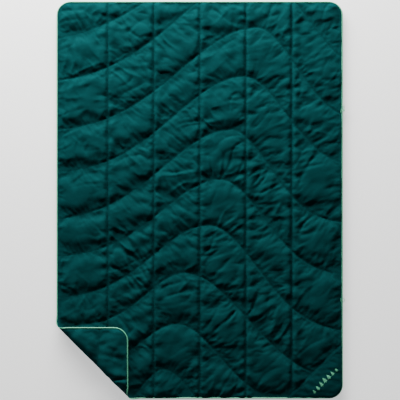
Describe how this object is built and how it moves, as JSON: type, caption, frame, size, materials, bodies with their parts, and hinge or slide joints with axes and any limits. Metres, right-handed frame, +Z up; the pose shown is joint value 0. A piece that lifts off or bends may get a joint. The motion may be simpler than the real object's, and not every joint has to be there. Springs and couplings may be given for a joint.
{
  "type": "camp blanket",
  "caption": "Quilted, insulated camp blanket laid flat with one corner turned over, with a contrast piped edge, a padded corner patch, a small swinging cape clip and a cord loop.",
  "frame": {"origin": "middle of the blanket's footprint, on the surface that it lies on", "axes": "+X across the width towards the edge with the fittings, +Y along the length away from the turned corner, +Z up"},
  "size_m": [1.3326, 1.833, 0.073],
  "materials": {
    "face_fabric": "teal ripstop nylon with a soft satin sheen",
    "back_fabric": "teal taffeta, smoother than the face",
    "patch_fabric": "teal ripstop nylon over thin padding",
    "fill": "white lofted polyester fibre",
    "filler_cord": "twisted cotton cord",
    "quilting_thread": "twisted polyester thread",
    "piping": "mint polyester bias tape",
    "embroidery": "mint embroidery thread with a sheen",
    "fitting_cord": "braided mint cord",
    "clip_plastic": "moulded mint plastic, fine satin"
  },
  "bodies": {
    "root": {"face_shell": "face_fabric", "back_shell": "back_fabric", "fill_band_01": "fill", "fill_band_02": "fill", "fill_band_03": "fill", "fill_band_04": "fill", "fill_band_05": "fill", "fill_band_06": "fill", "fill_band_07": "fill", "fill_band_08": "fill", "fill_band_09": "fill", "fill_band_10": "fill", "fill_band_11": "fill", "wave_seam_01": "quilting_thread", "wave_seam_02": "quilting_thread", "wave_seam_03": "quilting_thread", "wave_seam_04": "quilting_thread", "wave_seam_05": "quilting_thread", "wave_seam_06": "quilting_thread", "wave_seam_07": "quilting_thread", "wave_seam_08": "quilting_thread", "wave_seam_09": "quilting_thread", "wave_seam_10": "quilting_thread", "column_seam_1": "quilting_thread", "column_seam_2": "quilting_thread", "column_seam_3": "quilting_thread", "column_seam_4": "quilting_thread", "column_seam_5": "quilting_thread", "piping_cover": "piping", "piping_cord": "filler_cord", "corner_patch": "patch_fabric", "patch_seam": "quilting_thread", "embroidered_mark": "embroidery", "fold_shell": "back_fabric", "fold_fill": "fill", "piping_bend": "piping", "clip_tab": "fitting_cord", "cape_loop": "fitting_cord", "bartacks": "embroidery"},
    "corner": {"face_shell_corner": "face_fabric", "back_shell_corner": "back_fabric", "fill_corner": "fill", "wave_seam_corner": "quilting_thread", "column_seam_corner": "quilting_thread", "piping_cover_corner": "piping", "piping_cord_corner": "filler_cord"},
    "clip": {"cape_clip": "clip_plastic"}
  },
  "joints": [
    {"name": "corner_fold", "type": "hinge", "parent": "root", "child": "corner", "pos_m": [-0.4935, -0.7485, 0.0365], "axis": [0.7071, -0.7071, 0], "range_deg": [0, 180], "deforming": ["fold_shell", "fold_fill", "piping_bend"]},
    {"name": "clip_swing", "type": "hinge", "parent": "root", "child": "clip", "pos_m": [0.6645, 0.411, 0.018], "axis": [0, 0, 1], "range_deg": [-180, 0]}
  ]
}
